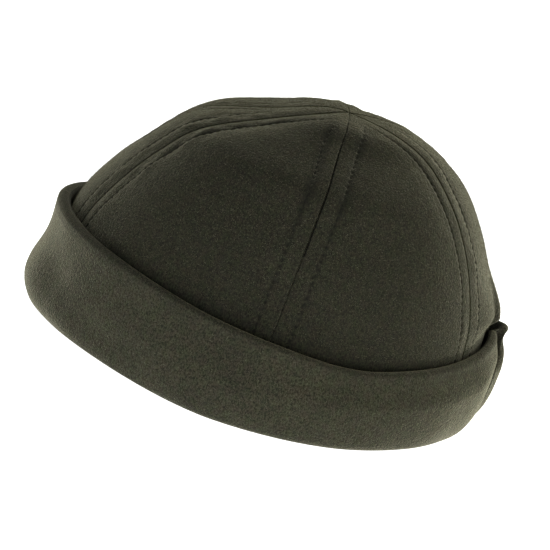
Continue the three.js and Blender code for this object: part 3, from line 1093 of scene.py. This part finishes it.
def wool_material(name, colours, sheen):
    nodes = Nodes(name)
    dark, light, fleck = colours
    # Heather: tufts of felted fibre of slightly different colour, drawn out in the warp's direction
    stretched = nodes.mapping({"Scale": (1.0, 1.0, 0.6)})
    tufts = nodes.noise(stretched, scale=1500, detail=3, roughness=0.7, distortion=0.2)
    mottle = nodes.noise(nodes.place, scale=210, detail=3, roughness=0.6, distortion=0.3)
    patches = nodes.noise(nodes.place, scale=38, detail=2)
    colour = nodes.mix(nodes.span(tufts, 0.4, 0.6), dark, light)
    # Browner and greener stretches of yarn
    shifted = nodes.mapping({"Location": (0.31, 0.17, 0.43)})
    hue = nodes.noise(shifted, scale=260, detail=2)
    tint = nodes.mix(nodes.span(hue, 0.35, 0.65), GREENER, BROWNER)
    colour = nodes.mix(1.0, colour, tint, "MULTIPLY")
    # Lighter and darker cloth, in small and in broad patches
    small = nodes.span(mottle, 0.3, 0.7, to_low=0.82, to_high=1.04)
    broad = nodes.span(patches, 0.3, 0.7, to_low=-0.06, to_high=0.22)
    tone = nodes.math("ADD", small, broad)
    shade = nodes.add("ShaderNodeCombineColor", {0: tone, 1: tone, 2: tone}).outputs[0]
    colour = nodes.mix(1.0, colour, shade, "MULTIPLY")
    # Single pale fibres on the surface
    drawn_out = nodes.mapping({"Rotation": (0.5, 0.4, 0.3), "Scale": (1.0, 0.28, 1.0)})
    fibres = nodes.noise(drawn_out, scale=2300, detail=2, roughness=0.6, distortion=1.2)
    colour = nodes.mix(nodes.span(fibres, 0.6, 0.74, to_high=0.7), colour, fleck)
    # Darker where the sewing presses down the nap, and painted shade along the stitching, just over the
    # turn-up and on the cuff
    pressed_and_shade_share = nodes.math("MULTIPLY", nodes.attribute("pressed_nap_and_painted_shade"), 0.75)
    colour = nodes.mix(pressed_and_shade_share, colour, PRESSED_AND_SHADE_COLOUR)
    # Felt grain at three scales
    nap = nodes.math("ADD", nodes.math("MULTIPLY", tufts, 0.7), nodes.math("MULTIPLY", fibres, 0.3))
    grain = nodes.noise(nodes.place, scale=950, detail=2, roughness=0.6, distortion=0.3)
    normal = nodes.bump(nap, strength=0.7, distance=0.0006)
    normal = nodes.bump(grain, strength=0.6, distance=0.0006, normal=normal)
    normal = nodes.bump(mottle, strength=0.35, distance=0.0006, normal=normal)
    nodes.shade({
        "Base Color": colour,
        "Roughness": nodes.span(mottle, 0.3, 0.7, to_low=0.82, to_high=1.0),
        "Specular IOR Level": 0.22,
        "Sheen Weight": sheen,
        "Sheen Roughness": SHEEN_ROUGHNESS,
        "Sheen Tint": SHEEN_TINT,
        "Normal": normal,
    })
    return nodes.material


def fibre_material(name, colours):
    nodes = Nodes(name)
    unevenness = nodes.noise(nodes.place, scale=900, detail=1)
    nodes.shade({
        "Base Color": nodes.mix(nodes.attribute("tone"), *colours),
        "Roughness": nodes.span(unevenness, 0.3, 0.7, to_low=0.7, to_high=0.9),
        "Specular IOR Level": 0.3,
    })
    return nodes.material


def dark_material(name, colours, scale, detail, grain, distortion, roughness, specular, bump):
    """Dark fibres without nap: the sewing thread, and painted shade deep in the seams."""
    nodes = Nodes(name)
    twist = nodes.noise(nodes.place, scale, detail, grain, distortion)
    nodes.shade({
        "Base Color": nodes.mix(nodes.span(twist, 0.3, 0.7), *colours),
        "Roughness": nodes.span(twist, 0.3, 0.7, *roughness),
        "Specular IOR Level": specular,
        "Normal": nodes.bump(twist, strength=0.5, distance=bump),
    })
    return nodes.material


def floor_material():
    nodes = Nodes("pale_floor")
    grain = nodes.noise(nodes.place, scale=40, detail=2)
    nodes.shade({
        "Base Color": nodes.mix(nodes.span(grain, 0.3, 0.7), *FLOOR_COLOURS),
        "Roughness": 0.9,
        "Specular IOR Level": 0.1,
        "Emission Color": (1, 1, 1, 1),
        "Emission Strength": FLOOR_GLOW,
    })
    return nodes.material


# Camera, floor and lights

def build_camera():
    azimuth, elevation, roll = (math.radians(angle) for angle in CAMERA_ANGLES)
    back = Vector((
        math.sin(azimuth) * math.cos(elevation),
        -math.cos(azimuth) * math.cos(elevation),
        math.sin(elevation),
    ))
    level = Vector((math.cos(azimuth), math.sin(azimuth), 0))
    up = back.cross(level)
    right = level * math.cos(roll) + up * math.sin(roll)
    top = up * math.cos(roll) - level * math.sin(roll)
    # The pivot lies off the picture's middle, so the camera stands a little to the side
    aside = (PICTURE_WIDTH / 2 - PIVOT_PIXEL[0]) / PIXELS_PER_MM
    above = (PIVOT_PIXEL[1] - PICTURE_WIDTH / 2) / PIXELS_PER_MM
    place = PIVOT + back * CAMERA_DISTANCE + right * aside + top * above
    data = bpy.data.cameras.new("photo_camera")
    data.sensor_width = 36
    data.lens = data.sensor_width * PIXELS_PER_MM * CAMERA_DISTANCE / PICTURE_WIDTH
    data.clip_start = 0.05
    data.clip_end = 20
    camera = bpy.data.objects.new("photo_camera", data)
    turn = Matrix((right, top, back)).transposed().to_4x4()
    camera.matrix_world = Matrix.Translation(place * MM) @ turn
    bpy.context.scene.collection.objects.link(camera)
    bpy.context.scene.camera = camera


def build_backdrop(material):
    """A pale wall round the floor, for low views. Only the camera sees it, so it lights nothing."""
    turns = np.linspace(0, 2 * math.pi, BACKDROP_SIDES + 1)
    circle = BACKDROP_RADIUS * np.stack([np.cos(turns), np.sin(turns), 0 * turns], -1)
    points = np.concatenate([circle, circle + (0, 0, BACKDROP_HEIGHT)])
    faces = grid_faces(np.arange(len(points)).reshape(2, -1))
    wall = new_object("backdrop", points, faces, material)
    for rays in ("diffuse", "glossy", "transmission", "shadow"):
        setattr(wall, "visible_" + rays, False)
    wall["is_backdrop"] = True


def build_light(name, place, power, colour):
    data = bpy.data.lights.new(name, "AREA")
    data.shape = "DISK"
    data.size = LIGHT_WIDTH_M
    data.energy = power
    data.color = colour
    light = bpy.data.objects.new(name, data)
    light.location = place
    light.rotation_mode = "QUATERNION"
    light.rotation_quaternion = (LIGHT_AIM_M - Vector(place)).to_track_quat("-Z", "Y")
    bpy.context.scene.collection.objects.link(light)


def build_stage():
    pale = floor_material()
    corners = FLOOR_REACH * np.array([(-1, -1, 0), (1, -1, 0), (1, 1, 0), (-1, 1, 0)])
    new_object("floor", corners, [(0, 1, 2, 3)], pale)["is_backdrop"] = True
    build_backdrop(pale)
    for light in LIGHTS:
        build_light(*light)
    world = bpy.data.worlds.new("studio")
    world.use_nodes = True
    background = world.node_tree.nodes["Background"]
    background.inputs["Color"].default_value = (1, 1, 1, 1)
    background.inputs["Strength"].default_value = WORLD_STRENGTH
    bpy.context.scene.world = world
    # The Standard view keeps the dark olive at the photograph's tone
    bpy.context.scene.view_settings.view_transform = "Standard"


build_camera()
crown_wool = wool_material("crown_felted_wool", CROWN_COLOURS, OPEN_SHEEN)
# Less glossy copies of the wool paint shade over and behind the turn-up, on its lip and near it
crown_fold_shade_wool = wool_material("crown_wool_painted_fold_shade", CROWN_COLOURS, CROWN_FOLD_SHEEN)
cuff_wool = wool_material("cuff_felted_wool", CUFF_COLOURS, OPEN_SHEEN)
cuff_lip_shade_wool = wool_material("cuff_wool_painted_lip_shade", CUFF_COLOURS, LIP_SHEEN)
cuff_near_lip_shade_wool = wool_material("cuff_wool_painted_near_lip_shade", CUFF_COLOURS, NEAR_LIP_SHEEN)
cuff_fold_shade_wool = wool_material("cuff_wool_painted_fold_shade", CUFF_COLOURS, CUFF_FOLD_SHEEN)
# A dark wool without sheen that paints shade deep in the seams
seam_shade_wool = dark_material("wool_painted_seam_shade", SEAM_SHADE_COLOURS, scale=1500, detail=3, grain=0.7,
                          distortion=0.6, roughness=(0.9, 1.0), specular=0.1, bump=0.0003)
panels = [build_panel(panel, crown_wool, seam_shade_wool, crown_fold_shade_wool) for panel in CROWN_PANELS]
cuff = build_cuff(cuff_wool, cuff_lip_shade_wool, cuff_fold_shade_wool, cuff_near_lip_shade_wool)
crown_fibre = fibre_material("crown_nap_fibre", CROWN_NAP_COLOURS)
cuff_fibre = fibre_material("cuff_nap_fibre", CUFF_NAP_COLOURS)
front_panels = [panels[5], panels[0], panels[1]]
fibre_mesh("crown_nap_front", front_panels, CROWN_FIBRES, FRONT_SEED, crown_fibre)
fibre_mesh("crown_nap_back", panels[2:5], CROWN_FIBRES, BACK_SEED, crown_fibre)
fibre_mesh("cuff_nap", [cuff], CUFF_FIBRES, CUFF_SEED, cuff_fibre)
thread = dark_material("topstitch_thread", THREAD_COLOURS, scale=2400, detail=2, grain=0.6,
                       distortion=0.5, roughness=(0.75, 0.95), specular=0.15, bump=0.0001)
build_stitches(thread)
build_stage()

for label, corners in (("cad", CAD_BOX), ("visual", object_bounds())):
    [[float(v) for v in corner] for corner in corners]
